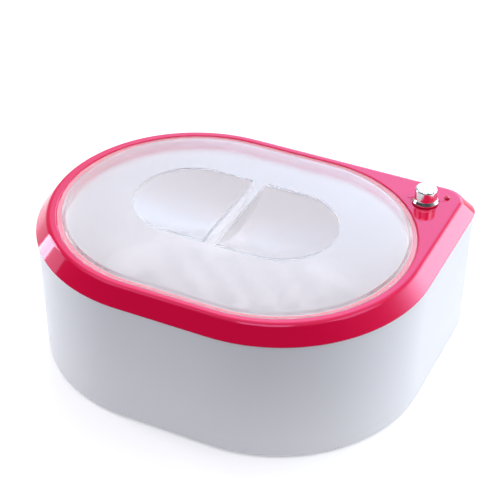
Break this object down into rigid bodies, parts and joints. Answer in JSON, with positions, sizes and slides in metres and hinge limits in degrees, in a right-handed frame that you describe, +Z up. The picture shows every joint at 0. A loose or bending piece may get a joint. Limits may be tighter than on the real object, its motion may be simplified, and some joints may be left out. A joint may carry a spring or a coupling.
{
  "type": "wax warmer pot",
  "caption": "Oval paraffin wax warmer bath with a white body, glossy bezel, frosted lift-off lid with two finger scoops, and a chrome dial on its squared corner.",
  "frame": {"origin": "on the table under the middle of the housing", "axes": "+X along the oval's length towards the dial, +Y towards the back with the mains inlet, +Z up"},
  "size_m": [0.37, 0.284, 0.1589],
  "materials": {
    "white_plastic": "satin white moulded plastic",
    "pink_plastic": "high gloss pink-red moulded plastic",
    "frosted_plastic": "frosted translucent moulded plastic",
    "aluminium": "spun satin aluminium",
    "chrome": "polished chrome plate",
    "steel": "zinc plated",
    "brass": "plain",
    "rubber": "matt",
    "silicone": "matt",
    "heater_film": "etched foil between films",
    "felt": "pressed fibre mat",
    "black_plastic": "fine textured",
    "lamp_red": "clear red",
    "board": "solder-masked board",
    "wire_brown": "insulated lead",
    "wire_blue": "insulated lead",
    "wire_green": "insulated lead"
  },
  "bodies": {
    "root": {"body_shell": "white_plastic", "bezel": "pink_plastic", "inner_pot": "aluminium", "base_plate": "white_plastic", "pot_gasket": "silicone", "heater_mat": "heater_film", "heater_clamp_plate": "steel", "insulation_pad": "felt", "thermostat_body": "black_plastic", "thermostat_nut": "brass", "indicator_lens": "lamp_red", "indicator_board": "board", "sensing_bulb": "steel", "bulb_clip": "steel", "capillary_tube": "steel", "thermal_fuse": "silicone", "inlet_housing": "black_plastic", "inlet_blade_live": "brass", "inlet_blade_neutral": "brass", "inlet_blade_earth": "brass", "wire_live": "wire_brown", "wire_neutral": "wire_blue", "wire_earth": "wire_green", "wire_heater": "wire_brown", "wire_indicator": "wire_brown", "heater_nut_1": "steel", "heater_nut_2": "steel", "heater_nut_3": "steel", "foot_1": "rubber", "foot_2": "rubber", "foot_3": "rubber", "foot_4": "rubber", "base_screw_1": "steel", "base_screw_2": "steel", "base_screw_3": "steel", "base_screw_4": "steel", "base_screw_5": "steel", "base_screw_6": "steel", "pot_screw_1": "steel", "pot_screw_2": "steel", "pot_screw_3": "steel", "pot_screw_4": "steel", "pot_screw_5": "steel", "pot_screw_6": "steel", "inlet_screw_1": "steel", "inlet_screw_2": "steel"},
    "lid": {"lid": "frosted_plastic"},
    "guard_grille": {"guard_grille": "white_plastic"},
    "knob": {"knob": "chrome", "thermostat_spindle": "steel"}
  },
  "joints": [
    {"name": "lid_lift", "type": "slide", "parent": "root", "child": "lid", "axis": [0, 0, 1], "range_m": [0, 0.15]},
    {"name": "grille_lift", "type": "slide", "parent": "root", "child": "guard_grille", "axis": [0, 0, 1], "range_m": [0, 0.088]},
    {"name": "knob_turn", "type": "hinge", "parent": "root", "child": "knob", "pos_m": [0.1435, 0.1005, 0.15], "axis": [0, 0, 1], "range_deg": [-300, 0]}
  ]
}
